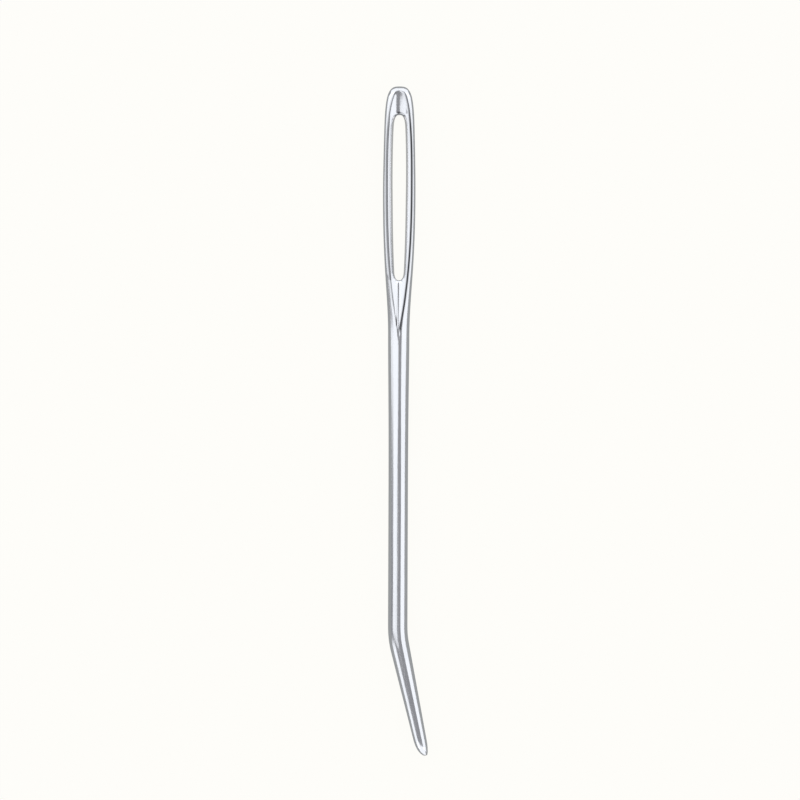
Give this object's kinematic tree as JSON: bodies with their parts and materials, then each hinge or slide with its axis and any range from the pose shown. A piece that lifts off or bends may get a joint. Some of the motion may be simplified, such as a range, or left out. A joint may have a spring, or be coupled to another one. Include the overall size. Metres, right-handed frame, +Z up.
{
  "type": "yarn needle",
  "caption": "Blunt metal needle with a long guttered eye and a bent tip, for leading yarn through knitted or crocheted fabric",
  "frame": {"origin": "middle of the needle's overall box, at the level of the table that it lies on", "axes": "+Y along the shaft towards the head and its eye, +X towards the side that the tip bends to, +Z up from the table through the eye"},
  "size_m": [0.0049, 0.07, 0.0021],
  "materials": {
    "plated_steel": "bright nickel plating, finely polished along the wire"
  },
  "bodies": {
    "root": {"head": "plated_steel", "shaft": "plated_steel"}
  },
  "joints": []
}
